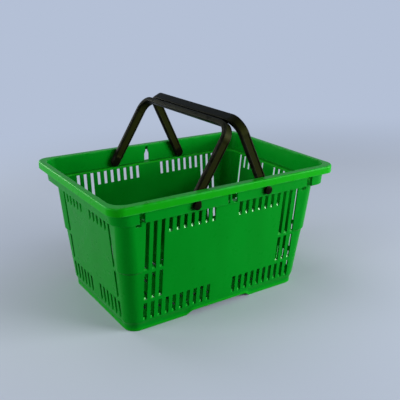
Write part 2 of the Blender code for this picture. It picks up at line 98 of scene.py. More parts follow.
class BasketTubSizes(bpy.types.PropertyGroup):
    """Sizes of the moulded tub."""
    rim_length: length("Length", "Outside of the rim along X", (TUB_HIGH[0] - TUB_LOW[0]) / MM)
    rim_width: length("Width", "Outside of the rim along Y", (TUB_HIGH[1] - TUB_LOW[1]) / MM)
    height: length("Height", "Top of the rim above the floor", TUB_HIGH[2] / MM)
    base_length: length("Base length", "Outside of the foot along X", 348.0)
    base_width: length("Base width", "Outside of the foot along Y", 223.0)
    wall: length("Wall", "Thickness of the walls", 2.6)
    wall_corner: length("Wall corner", "Outer radius of the wall's corners", 21.5)
    floor_under: length("Floor underside", "Height of the floor's underside", 8.5)
    floor_top: length("Floor top", "Height of the floor's top", 11.1)
    floor_fillet: length("Floor fillet", "Radius between the floor and the walls", 6.0)
    foot_width: length("Foot width", "Thickness of the foot's rim", 3.2)
    foot_edge: length("Foot edge", "Rounding of the foot's outer edge", 0.9)
    foot_recess: length("Foot recess", "How far the foot lies in from the line of the wall", 1.9)
    foot_bead: length("Foot bead", "How far the bead along the foot stands out", 0.6)
    arch_foot: length("Arch width", "Width of the foot's cut-out at the floor", 132.0)
    arch_head: length("Arch head", "Width of the foot's cut-out at its top", 113.0)
    arch_rise: length("Arch rise", "Height of the foot's cut-out", 7.2)
    post_rise: length("Post step rise", "Height of the step in the corner posts, half of it below the tall row", 4.0)
    post_out: length("Post stand-out", "How far the upper post stands out at its step", 2.5)
    post_out_top: length("Post stand-out at top", "How far it still stands out under the ledge", 0.4)
    ledge_z: length("Ledge underside", "Height of the ledge's underside", 196.5)
    ledge_top: length("Ledge top", "Height of the ledge's top", 199.1)
    rim_reach: levels("Rim reach", "Rim beyond the wall at the ends and along the sides", 23.3, 22.2)
    ledge_width: levels("Ledge width", "Ledge inside the band at the ends and along the sides", 11.7, 10.4)
    band_thick: levels("Band thickness", "Band at the ends and along the sides", 3.0, 3.6)
    band_lean: levels("Band lean", "Band's lean outwards at the ends and along the sides", 4.0, 1.0)
    band_corner: length("Band corner", "Outer radius of the band's corners", 26.0)
    band_corner_out: length("Band corner stand-out", "Corners of the band beyond its long sides", 1.8)
    band_edge: length("Band edge", "Rounding of the band's lower edge", 1.0)
    rim_thick: length("Rim thickness", "Thickness of the rim's top", 2.6)
    lip_thick: length("Lip thickness", "Thickness of the hanging lip", 2.6)
    lip_drop: length("Lip drop", "Height of the hanging lip", 13.0)
    lip_corner: length("Lip corner", "Outer radius of the lip's corners", 22.0)
    rim_round: levels("Rim rounding", "Outer and inner rounding of the rim's top", 2.6, 1.2)
    slot_width: length("Slot width", "Width of the slots in the walls", 6.0)
    slot_sill: length("Slot sill", "Rise of a slot's sill towards the inside", 4.8)
    side_columns: levels("Side columns", "First slot column and their spacing, long sides", 26.5, 13.4)
    end_columns: levels("End columns", "First slot column and their spacing, short sides", 17.8, 13.8)
    bottom_row: levels("Bottom row", "Bottom and top of the lowest slots", 19.2, 50.5)
    low_row: levels("Low row", "Bottom and top of the lower tall slots", 56.8, 104.2)
    tall_row: levels("Tall row", "Bottom and top of the upper tall slots", 109.2, 195.5)
    top_row: length("Top row", "Bottom of the short slots under the ledge", 168.0)
    notch: levels("Notch", "Inner edge, width, bottom and top of the front notches", 158.2, 9.5, 187.6, 216.2)
    window: levels("Window", "Edges of the slit and of the main window", -9.2, -5.8, -1.9, 8.9)
    window_z: levels("Window height", "Bottom and top of the front window", 198.6, 215.5)
    window_cut: length("Window corner", "Cut lower corner of the main window", 5.2)
    keyhole_z: levels("Keyhole heights", "Bottom, shoulder, neck and top", 200.3, 213.1, 218.5, 227.2)
    keyhole_width: levels("Keyhole widths", "Width of the body and of the neck", 10.2, 5.0)
    drain: levels("Drains", "Width, spacing, near end and far end of the floor's drain slots", 6, 24, 11, 85)
    soft_edge: length("Soft edge", "Rounding of the edges of every slot and opening", 0.5)


class BasketHandleSizes(bpy.types.PropertyGroup):
    """Sizes of the two handles and how far they lean inwards at rest."""
    reach: length("Reach", "Pivot to the top of the grip", 135.7)
    width: length("Width", "Width of the bar", 17.0)
    thick: length("Thickness", "Thickness of the bar", 8.6)
    edge: length("Edge", "Rounding of the bar's edges", 2.4)
    bend: length("Bend", "Outer radius of the bends", 28.0)
    leg_out: length("Leg face", "Outer face of a leg from the middle of the tub", 137.65)
    channel_depth: length("Channel depth", "Depth of the channel along the legs", 0.9)
    channel_border: length("Channel border", "Rib beside the channel", 3.2)
    channel_runout: length("Channel runout", "Length over which the channel fades out", 6.0)
    peg_radius: length("Peg radius", "Radius of the pivot pegs", 4.3)
    hole_radius: length("Hole radius", "Radius of the pivot holes in the band", 4.7)
    head_seat: length("Head seat", "Inner face of the peg heads from the middle", 142.35)
    head_thick: length("Head thickness", "Thickness of the peg heads", 4.6)
    head_radius: length("Head radius", "Radius of the round part of a peg head", 7.0)
    lobe_radius: length("Lobe radius", "Radius of the lobe that points up the leg", 3.9)
    lobe_reach: length("Lobe reach", "Middle of the lobe from the pivot", 5.2)
    lean_left: bpy.props.FloatProperty(
        name="Left lean", description="Lean of the left handle at rest", default=math.radians(31.3), subtype="ANGLE")
    lean_right: bpy.props.FloatProperty(
        name="Right lean", description="Lean of the right handle at rest", default=math.radians(25.4995),
        subtype="ANGLE")


class BasketFinish(bpy.types.PropertyGroup):
    """Colours of the two plastics and of the stage."""
    green: colour("Green", "Tub", "#00881C")
    green_deep: colour("Deep green", "Thicker and shaded streaks of the tub", "#008219")
    # Painted highlight: this lighter green is mixed in where the tub looks brightly lit, on the lip, the rim's inner
    # rounding, the ledge's edge, the foot bead and the glinting sills.
    green_painted_light: colour("Rim green", "Rim and lip, which hands keep lighter", "#109E10")
    green_gloss: colour("Green gloss", "Tint of the shine on the tub", "#66FF80")
    green_worn: colour("Worn green", "Rubbed edges of the tub", "#3FAE5C")
    black: colour("Black", "Handles", "#080906")
    black_worn: colour("Worn black", "Rubbed edges of the handles", "#30312A")
    # Painted sheen: a lighter olive drawn along the legs' channel and onto the bends, where the legs look lit.
    black_painted_sheen: colour("Ribbed black", "Ribbed strip along the legs, which scatters more light", "#1A1D09")
    black_gloss: colour("Black gloss", "Tint of the shine on the handles", "#ECFF60")
    floor: colour("Floor", "Studio floor near the object", "#C6CFDD")
    floor_bounce: colour("Floor bounce", "What the floor throws back on the object", "#565E6C")
    backdrop: colour("Backdrop", "Far floor and background", "#B4C0D6")


# ---------------------------------------------------------------- mesh helpers

def make_piece(name, points, faces, material, paint, soft_edges=None, soft_width=0.0):
    """A mesh object at the origin. paint holds one value a point or face by name, soft_edges are pairs to round."""
    mesh = bpy.data.meshes.new(name)
    mesh.from_pydata(points, [], faces)
    mesh.update(calc_edges=True)
    mesh.materials.append(material)
    for label, values in paint.items():
        domain = "FACE" if len(values) == len(faces) else "POINT"
        mesh.attributes.new(label, "FLOAT", domain).data.foreach_set("value", values.astype(np.float32))
    piece = bpy.data.objects.new(name, mesh)
    bpy.context.scene.collection.objects.link(piece)
    if soft_edges is not None:
        ends = np.empty(2 * len(mesh.edges), np.int64)
        mesh.edges.foreach_get("vertices", ends)
        count = len(points)
        key = np.sort(ends.reshape(-1, 2), axis=1) @ (count, 1)
        wanted = np.sort(soft_edges, axis=1) @ (count, 1)
        weight = mesh.attributes.new("bevel_weight_edge", "FLOAT", "EDGE")
        weight.data.foreach_set("value", np.isin(key, wanted).astype(np.float32))
        bevel = piece.modifiers.new("soft edges", "BEVEL")
        bevel.limit_method = "WEIGHT"
        bevel.width = soft_width
        bevel.segments = 2
        bevel.use_clamp_overlap = False
    mesh.shade_smooth()
    normals = piece.modifiers.new("flat faces stay flat", "WEIGHTED_NORMAL")
    normals.weight = 60
    return piece


def turn(start, stop, count):
    """Sines and cosines of evenly spaced angles, in degrees."""
    angles = np.radians(np.linspace(start, stop, count))
    return np.sin(angles), np.cos(angles)


def quarter(count):
    """Sine and cosine of each of the evenly spaced steps of a quarter turn."""
    return zip(*turn(0, 90, count))


def closed_net(count, loop):
    """Point numbers of count rings of loop points each, with the first place again at the end."""
    net = np.arange(count * loop).reshape(count, loop)
    return np.concatenate([net, net[:, :1]], axis=1)


def cells(net):
    """The four corners of every cell of a net of point numbers, in order round the cell."""
    return np.stack([net[:-1, :-1], net[:-1, 1:], net[1:, 1:], net[1:, :-1]], axis=-1)


def sheet_faces(first, second, cut):
    """Faces of two facing nets with holes cut through both.

    first and second are nets of point numbers of one shape, and cut says which cells are open. The faces are
    the closed cells of both nets and a strip between them along every edge of a hole. Also gives those edges,
    and which faces are the sills of holes.
    """
    parts = [cells(first)[~cut], cells(second)[~cut][:, ::-1]]
    edges, sills = [], []
    wide = np.pad(cut, 1)
    for axis in (0, 1):
        change = np.diff(wide.astype(np.int8), axis=axis)
        change = change[:, 1:-1] if axis == 0 else change[1:-1]
        for sign in (1, -1):
            at = np.argwhere(change == sign)
            step = (0, 1) if axis == 0 else (1, 0)
            a = tuple(at.T)
            b = tuple((at + step).T)
            strip = np.stack([first[a], first[b], second[b], second[a]], axis=-1)
            parts.append(strip if (sign == 1) == (axis == 0) else strip[:, ::-1])
            edges += [np.stack([first[a], first[b]], -1), np.stack([second[a], second[b]], -1)]
            sills.append(np.full(len(at), axis == 0 and sign == 1))
    sills = np.concatenate(sills)
    faces = np.concatenate(parts)
    return faces, np.concatenate(edges), np.pad(sills, (len(faces) - len(sills), 0))


# ---------------------------------------------------------------- tub

def slot_lines(first, pitch, width, room):
    """Both edges of every slot column on one side of the middle, as many as fit in the room."""
    columns = first + pitch * np.arange(int((room - width / 2 - first - 1.0 * MM) / pitch) + 1)
    return np.stack([columns - width / 2, columns + width / 2], axis=1).ravel()


def fill(count, places, values):
    """Line places of one half side: the given ones at their numbers and the rest evenly between."""
    return np.interp(np.arange(count), places, values)


class TubNet:
    """Closed net of the tub: a section carried round a rounded rectangle.

    Each station of the section is one ring. A ring is a rounded rectangle with half sizes and a corner radius,
    whose sides may lie in from its corners, and the lines that cross it may stand at other places on each ring.
    """

    def __init__(self, sizes, hole_radius):
        self.t = t = sizes
        self.hole_radius = hole_radius
        self.rows = []
        half = np.array([t.rim_length, t.rim_width]) / 2
        self.base = np.array([t.base_length, t.base_width]) / 2
        self.slope = (half - np.array(t.rim_reach) - self.base) / t.ledge_z
        self.rim = half
        self.rise = t.height - t.rim_round[1] - t.ledge_top
        self.band_in = self.wall_half(t.ledge_top) - t.wall + np.array(t.ledge_width)
        self.band_out = self.band_in + np.array(t.band_thick)
        self.side_slots = slot_lines(*t.side_columns, t.slot_width, self.flat(t.bottom_row[0])[0])
        self.end_slots = slot_lines(*t.end_columns, t.slot_width, self.flat(t.bottom_row[0])[1])

    def wall_half(self, z):
        return self.base + self.slope * z

    def flat(self, z):
        """Where the straight parts of the wall end at height z."""
        return self.wall_half(z) - self.t.wall_corner

    def lean(self, z):
        """How far the band has leaned outwards at height z."""
        share = (z - self.t.ledge_top) / self.rise
        return np.array(self.t.band_lean) * min(max(share, 0.0), 1.0)

    # Places of the lines on one ring: front, back and ends

    def wall_lines(self, z):
        t = self.t
        last = self.side_slots[-1]
        room = self.flat(z)[0] - last
        share = min(1.0, room / (self.flat(t.notch[2])[0] - last))
        notch = last + (np.array([t.notch[0], t.notch[0] + t.notch[1]]) - last) * share
        side = np.concatenate([[6.0 * MM, 14.5 * MM], self.side_slots, notch])
        return side, side, self.end_slots

    def foot_lines(self, z):
        t = self.t
        flat = self.flat(z) - 0.6 * MM
        head, foot = t.arch_head / 2, t.arch_foot / 2
        side = fill(HALF_SIDE, [0, 7, 9, HALF_SIDE - 1], [6.0 * MM, head, foot, flat[0]])
        return side, side, fill(HALF_END, [0, HALF_END - 1], [4.0 * MM, flat[1]])

    def floor_lines(self, z):
        t = self.t
        flat = self.flat(z) - 0.6 * MM
        width, pitch, near, far = t.drain
        count = min((HALF_SIDE - 1) // 3, int((flat[0] - 3.0 * MM - width) / pitch))
        places, values = [0], [width / 2]
        for k in range(1, count + 1):
            places += [3 * k - 1, 3 * k]
            values += [k * pitch - width / 2, k * pitch + width / 2]
        side = fill(HALF_SIDE, places + [HALF_SIDE - 1], values + [flat[0]])
        end = fill(HALF_END, [0, 1, HALF_END - 2, HALF_END - 1], [near / 2, near, far, flat[1]])
        return side, side, end

    def band_lines(self, z):
        t = self.t
        pivot, hole = abs(PIVOTS["handle_left"][0]), self.hole_radius
        first, last = HOLE_LINE, HOLE_LINE + HOLE_CELLS
        side = fill(
            HALF_SIDE, [0, 1, first - 1, first, last, last + 1, HALF_SIDE - 2, HALF_SIDE - 1],
            [5.0 * MM, 12.5 * MM, pivot - hole - 3.5 * MM, pivot - hole, pivot + hole, pivot + hole + 3.5 * MM,
             t.notch[0], t.notch[0] + t.notch[1]])
        end = fill(HALF_END, [0, HALF_END - 1], [4.0 * MM, self.band_in[1] - t.band_corner])
        return side, side, end

    def add(self, lines, half, radius, z, slope=(0.0, 0.0), inset=(0.0, 0.0), ramp=((0, 1), (0, 1)),
            arch=0.0, worn=0.0, bright=0.0):
        """One ring. inset is how far the ends and the sides lie in, and ramp where they come out to the corners."""
        front, back, end = (np.concatenate([-v[::-1], v]) for v in lines(z))
        if lines == self.band_lines:
            t = self.t
            middle = slice(HALF_SIDE - 2, HALF_SIDE + 2)
            cut = np.clip(t.window_cut - (z - t.window_z[0]), 0.0, t.window_cut)
            front[middle] = np.array(t.window) + (0.0, 0.0, cut, 0.0)
            wide, neck = np.array(t.keyhole_width) / 2
            edge = np.interp(z, t.keyhole_z, [wide, wide, neck, neck])
            back[middle] = -12.5 * MM, -edge, edge, 12.5 * MM
        self.rows.append((front, back, end, half, radius, z, slope, inset, ramp, arch, worn, bright))

    def wall(self, z, reach=0.0, post=0.0, recess=0.0, lines=None, arch=0.0, **paint):
        """Ring of the sloping wall, moved out by reach, with corner posts that stand out by post.

        It lies in by recess, except where the arch lifts it.
        """
        flat = self.flat(z)
        slope = self.slope + (0.0, recess / (self.t.arch_rise * arch) if arch else 0.0)
        corner = flat[::-1]
        last = np.array([self.end_slots[-1], self.side_slots[-1]])
        ramp = np.stack([np.minimum(last, corner - 2 * MM), corner], axis=1)
        out = reach + post - recess
        self.add(lines or self.wall_lines, self.wall_half(z) + out, self.t.wall_corner + out, z, slope=slope,
                 inset=(post, post), ramp=ramp, arch=arch, **paint)

    def band(self, z, out=0.0, inner=False, **paint):
        """Ring of the band's outside or inside, moved out by out."""
        t = self.t
        slope = np.array(t.band_lean) / self.rise
        notch = (t.notch[0], t.notch[0] + t.notch[1])
        if inner:
            half = self.band_in + self.lean(z) + out
            self.add(self.band_lines, half, t.band_corner - t.band_thick[0] + out, z, slope=slope, **paint)
        else:
            half = self.band_out + (self.lean(z)[0] + out, t.band_corner_out + out)
            self.add(self.band_lines, half, t.band_corner + out, z, slope=(slope[0], 0.0),
                     inset=(0.0, t.band_corner_out), ramp=((0, 1), notch), **paint)

    def lip(self, z, inset, worn=0.0):
        """Ring of the hanging lip, inset from the outside of the rim."""
        # The whole lip takes the lighter green: a painted highlight for how brightly the lip is lit.
        self.add(self.band_lines, self.rim - inset, self.t.lip_corner - inset, z, worn=worn, bright=1.0)

    def stations(self):
        """All rings, from the floor's underside up outside, over the rim and down inside to the floor's top."""
        t = self.t
        # Underside and foot: heights in mm, with the bead's shape, then the way the wall comes out of its recess
        foot = {"recess": t.foot_recess, "lines": self.foot_lines}
        small = 0.6 * MM
        for k, (s, c) in enumerate(zip(*turn(90, 0, 4))):
            foot["lines"] = self.foot_lines if k else self.floor_lines
            self.wall(t.floor_under - small * (1 - s), -t.foot_width - small * (1 - c), **foot)
        foot["arch"] = 1.0
        small = 0.4 * MM
        for s, c in quarter(4):
            self.wall(small * (1 - s), -t.foot_width + small * (1 - c), worn=0.8, **foot)
        for s, c in quarter(5):
            # The foot's rounded edge and the bead above it carry a painted highlight in the lighter green, where the
            # bead looks lit; the paleness of the rounded edge is rubbed wear.
            self.wall(t.foot_edge * (1 - c), t.foot_bead - t.foot_edge * (1 - s), worn=1.0, bright=0.5, **foot)
        for z, out, bright in (
                (2.4, 1.0, 0.5), (4.0, 0.7, 0.5), (5.0, 0.35, 0.4), (5.6, -0.1, 0.0), (6.4, -0.15, 0.0)):
            self.wall(z * MM, out * t.foot_bead, bright=bright, **foot)
        for z, share, arch in (
                (9.8, 1.0, 1.0), (11.4, 0.93, 0.82), (13.4, 0.68, 0.6), (15.4, 0.32, 0.38), (17.2, 0.07, 0.2),
                (18.3, 0.0, 0.08)):
            self.wall(z * MM, recess=share * t.foot_recess, lines=self.foot_lines, arch=arch)
        # Outside of the wall, the ledge and the band: the lines that openings pass through. The step of the posts
        # is given by its rows and by the share of the stand-out that each has reached
        self.outside = len(self.rows)
        step = t.tall_row[0] + t.post_rise * np.array([-0.75, -0.5, -0.4, 0.0, 0.3, 0.42, 0.55, 0.8])
        share = np.array([0.0, 0.0, 0.06, 0.5, 0.86, 0.97, 1.0, 1.0])
        outer = np.concatenate([t.bottom_row, t.low_row, step, [t.top_row, t.notch[2], t.tall_row[1]]])
        sill = np.zeros(len(outer))
        sill[[0, 2, 12]] = t.slot_sill
        sill[7:12] = 0.9 * t.slot_sill
        fade = np.interp(outer, [step[-1], t.ledge_z], [t.post_out, t.post_out_top])
        post = np.concatenate([np.zeros(4), share * t.post_out, fade[12:]])
        for z, out in zip(outer, post):
            self.wall(z, post=out)
        under = 1.2 * MM
        for s, c in quarter(4):
            self.wall(t.ledge_z - under * (1 - s) * 0.8, under * (1 - c), post=t.post_out_top)
        for s, c in quarter(4):
            self.band(t.ledge_z + t.band_edge * (2 - c), -t.band_edge * (1 - s), worn=0.3)
        pivot = PIVOTS["handle_left"][2]
        hole = pivot + self.hole_radius * np.linspace(-1, 1, HOLE_CELLS + 1)
        key = t.keyhole_z
        upper = np.concatenate([key[:1], hole, key[1:2], [t.window_z[1], t.notch[3]], key[2:]])
        for z in upper:
            self.band(z)
        self.through = len(self.rows) - self.outside
        # Rim with its hanging lip
        rim_under, lip_bottom = t.height - t.rim_thick, t.height - t.lip_drop
        small = 0.8 * MM
        for s, c in quarter(4):
            self.band(rim_under - small * (1 - s), small * (1 - c))
        for s, c in quarter(4):
            self.lip(rim_under - small * (1 - c), t.lip_thick + small * (1 - s))
        small = 0.9 * MM
        for s, c in quarter(4):
            self.lip(lip_bottom + small * (1 - s), t.lip_thick - small * (1 - c), worn=0.3)
        for s, c in quarter(4):
            self.lip(lip_bottom + small * (1 - c), small * (1 - s), worn=0.7)
        self.lip(lip_bottom + 2.4 * MM, 0.0)
        self.lip(t.height - t.rim_round[0] - 2.0 * MM, 0.0)
        for s, c in quarter(7):
            self.lip(t.height - t.rim_round[0] * (1 - s), t.rim_round[0] * (1 - c), worn=1.0 - abs(s - 0.7))
        for s, c in quarter(5):
            # The rim's inner rounding is painted lighter towards its top: a painted highlight.
            self.band(t.height - t.rim_round[1] * (1 - c), t.rim_round[1] * (1 - s), inner=True, worn=0.5, bright=c)
        # Inside, the same lines as outside in the opposite order
        for z in upper[::-1]:
            self.band(z, inner=True)
        small = 0.8 * MM
        for s, c in quarter(4):
            self.band(t.ledge_top + small * (1 - s), -small * (1 - c), inner=True)
        small = 1.5 * MM
        # The ledge's inner edge is painted in the lighter green all round: a painted highlight where the edge catches
        # light.
        for s, c in zip(*turn(90, 0, 4)):
            self.wall(t.ledge_top - small * (1 - s), -t.wall + small * (1 - c), worn=0.35, bright=1.0)
        for z in (outer + sill)[::-1]:
            self.wall(z, -t.wall)
        self.inside = len(self.rows) - 1
        for s, c in quarter(6):
            self.wall(t.floor_top + t.floor_fillet * (1 - s), -t.wall - t.floor_fillet * (1 - c),
                      lines=self.floor_lines)

    def rings(self):
        """Points of all rings as (ring, place, xyz), counted from the front's left end against the clock."""
        front, back, end, half, radius, z, slope, inset, ramp, arch, worn, bright = (
            np.array(column, dtype=float) for column in zip(*self.rows))
        half_x, half_y = half[:, :1], half[:, 1:]
        z = z[:, None]
        head, foot = self.t.arch_head / 2, self.t.arch_foot / 2
        self.paint = {"worn": worn, "bright": bright}

        def side(x):
            lift = np.clip((foot - np.abs(x)) / (foot - head), 0, 1) * self.t.arch_rise * arch[:, None]
            up = z + lift
            x, up = self.round_holes(x, up)
            low, high = ramp[:, 1, :1], ramp[:, 1, 1:]
            lie_in = inset[:, 1:] * (1 - np.clip((np.abs(x) - low) / (high - low), 0, 1))
            return x, half_y - lie_in + slope[:, 1:] * (up - z), up

        low, high = ramp[:, 0, :1], ramp[:, 0, 1:]
        end_x = half_x - inset[:, :1] * (1 - np.clip((np.abs(end) - low) / (high - low), 0, 1))
        end_z = np.broadcast_to(z, end.shape)
        sine, cosine = turn(0, 90, CORNER_FACETS + 1)
        r = radius[:, None]
        bend_x, bend_y = half_x - r + r * cosine, half_y - r + r * sine
        bend_z = np.broadcast_to(z, bend_x.shape)
        fx, fy, fz = side(front)
        bx, by, bz = side(back)
        parts = [
            (fx, -fy, fz),
            (bend_x[:, ::-1], -bend_y[:, ::-1], bend_z),
            (end_x, end, end_z),
            (bend_x, bend_y, bend_z),
            (bx[:, ::-1], by[:, ::-1], bz[:, ::-1]),
            (-bend_x[:, ::-1], bend_y[:, ::-1], bend_z),
            (-end_x, end[:, ::-1], end_z),
            (-bend_x, -bend_y, bend_z),
        ]
        return np.stack([np.concatenate(axis, axis=1) for axis in zip(*parts)], axis=-1)

    def round_holes(self, x, z):
        """Move the square block of the net round each pivot onto a disc, ring by ring of the square."""
        grid = np.linspace(-1, 1, HOLE_CELLS + 1)
        a, b = np.meshgrid(grid, grid)
        a, b = np.where(a == 0, 1e-9, a), np.where(b == 0, 1e-9, b)
        wide = np.abs(a) >= np.abs(b)
        angle = np.where(wide, math.pi / 4 * b / a, math.pi / 2 - math.pi / 4 * a / b)
        reach = np.where(wide, a, b)
        dx, dz = self.hole_radius * reach * np.cos(angle), self.hole_radius * reach * np.sin(angle)
        x, z = x.copy(), z.copy()
        outside = self.outside + HOLE_ROW
        inside = self.inside - HOLE_ROW - HOLE_CELLS
        pivot_x, _, pivot_z = PIVOTS["handle_right"]
        right, left = HALF_SIDE + HOLE_LINE, HALF_SIDE - 1 - HOLE_LINE - HOLE_CELLS
        for row, up in ((outside, 1), (inside, -1)):
            rows = slice(row, row + HOLE_CELLS + 1)
            for column, middle in ((right, pivot_x), (left, -pivot_x)):
                columns = slice(column, column + HOLE_CELLS + 1)
                x[rows, columns] = middle + dx[::up]
                z[rows, columns] = pivot_z + dz[::up]
        return x, z

    def openings(self, places):
        """Which cells of the through lines are open: slots, notches, window, keyhole and pivot holes."""
        lines = self.through - 1
        side, end = 2 * HALF_SIDE - 1, 2 * HALF_END - 1
        front, right = np.zeros((lines, side), bool), np.zeros((lines, end), bool)
        bottom, low, tall, top = slice(0, 1), slice(2, 3), slice(7, 14), slice(12, 14)
        after = HOLE_ROW + HOLE_CELLS
        notch, window, keyhole = slice(13, after + 3), slice(HOLE_ROW - 2, after + 2), slice(HOLE_ROW - 1, after + 5)

        def both(net, half, first, rows):
            net[rows, half + first] = True
            net[rows, half - 2 - first] = True

        for net, half, count, tall_columns, start in (
                (front, HALF_SIDE, len(self.side_slots) // 2, 3, 2), (right, HALF_END, len(self.end_slots) // 2, 1, 0)):
            for k in range(count):
                rows = (bottom, low, tall) if k >= count - tall_columns else (bottom, top)
                for levels_open in rows:
                    both(net, half, start + 2 * k, levels_open)
        for k in range(HOLE_CELLS):
            both(front, HALF_SIDE, HOLE_LINE + k, slice(HOLE_ROW, after))
        back = front.copy()
        both(front, HALF_SIDE, HALF_SIDE - 2, notch)
        both(front, HALF_SIDE, 0, window)
        back[keyhole, HALF_SIDE - 1] = True
        cut = np.zeros((lines, places), bool)
        corner = CORNER_FACETS + 1
        start = 0
        for net in (front, right, back[:, ::-1], right[:, ::-1]):
            cut[:, start:start + net.shape[1]] = net
            start += net.shape[1] + 1 + corner
        return cut

    def build(self):
        """Points, faces, edges to soften and painted values of the whole tub."""
        t = self.t
        self.stations()
        rings = self.rings()
        count, places = rings.shape[:2]
        points = [rings.reshape(-1, 3)]
        net = closed_net(count, places)
        cut = self.openings(places)
        outside = net[self.outside:self.outside + self.through]
        inside = net[self.inside - self.through + 1:self.inside + 1][::-1]
        faces, edges, sills = sheet_faces(outside, inside, cut)
        parts = [faces]
        for start, stop in (
                (0, self.outside), (self.outside + self.through - 1, self.inside - self.through + 1),
                (self.inside, count - 1)):
            parts.append(cells(net[start:stop + 1]).reshape(-1, 4))
        # Floor: straight lines across, with the ring as its border, on top and underneath
        corner = CORNER_FACETS + 1
        half = CORNER_FACETS // 2
        nx, ny = 2 * HALF_SIDE + corner + 1, 2 * HALF_END + corner + 1
        begin = places - corner + half
        f = np.arange(begin, begin + nx) % places
        r = np.arange(f[-1], f[-1] + ny)
        b = np.arange(r[-1], r[-1] + nx)[::-1]
        l = np.arange(b[0], b[0] + ny)[::-1]
        floors = []
        total = count * places
        for ring in (count - 1, 0):
            border = rings[ring]
            x, y = np.broadcast_arrays(border[f, 0][None, :], border[r, 1][:, None])
            z = np.full(x.shape, border[0, 2])
            inner = np.stack([x, y, z], axis=-1)[1:-1, 1:-1].reshape(-1, 3)
            grid = np.empty((ny, nx), np.int64)
            grid[1:-1, 1:-1] = total + np.arange(len(inner)).reshape(ny - 2, nx - 2)
            total += len(inner)
            grid[0], grid[-1], grid[:, -1], grid[:, 0] = (ring * places + k for k in (f, b, r, l))
            points.append(inner)
            floors.append(grid)
        drains = np.zeros((ny - 1, nx - 1), bool)
        middle_x, middle_y = half + HALF_SIDE, half + HALF_END
        number = int((self.flat(t.floor_top)[0] - 3.6 * MM - t.drain[0]) / t.drain[1])
        rows = np.r_[middle_y + 2:middle_y + HALF_END - 1]
        rows = np.concatenate([rows, 2 * middle_y - rows])
        for k in range(-number, number + 1):
            drains[rows, middle_x + 3 * k] = True
        floor_faces, floor_edges, _ = sheet_faces(floors[0], floors[1], drains)
        parts.append(floor_faces)
        points = np.concatenate(points)
        rest = len(points) - count * places
        paint = {name: np.pad(np.repeat(values, places), (0, rest)) for name, values in self.paint.items()}
        faces = np.concatenate(parts)
        # Shine of the sills, set for each row of slots
        # Polish and painted glint of the sills: the coat and smoother finish give them real gloss, and the same value
        # mixes the lighter green into their colour as a painted highlight.
        corners = points[faces[:len(sills)]]
        sills &= np.abs(corners[:, :, 0]).max(axis=1) < self.band_in[0] - t.band_corner
        sills &= np.ptp(corners[:, :, 2], axis=1) > 0.7 * t.slot_sill
        lowest = corners[:, :, 2].min(axis=1)
        rows = [t.bottom_row[0], t.low_row[0], t.tall_row[0], t.top_row]
        shine = np.interp(lowest, rows, [0.04, 1.0, 0.0, 0.38]) * sills
        paint["polished"] = np.pad(shine, (0, len(faces) - len(sills)))
        return points, faces, np.concatenate([edges, floor_edges]), paint


# ---------------------------------------------------------------- handles

def bar_section(h):
    """Half section of the bar as (distance from the middle, through, share of the channel's depth)."""
    half_w, half_t = h.width / 2, h.thick / 2
    sine, cosine = turn(0, 90, 7)
    border = half_w - h.channel_border
    flank = border + h.channel_depth * np.array([0.5, 0.1, -0.3, -0.7, -1.3])
    across = np.concatenate([half_w - h.edge + h.edge * cosine, flank, [0.0]])
    through = np.concatenate([half_t - h.edge + h.edge * sine, np.full(6, half_t)])
    deep = np.concatenate([np.zeros(7), [0.0, 0.1, 0.55, 0.93, 1.0, 1.0]])
    return across, through, deep


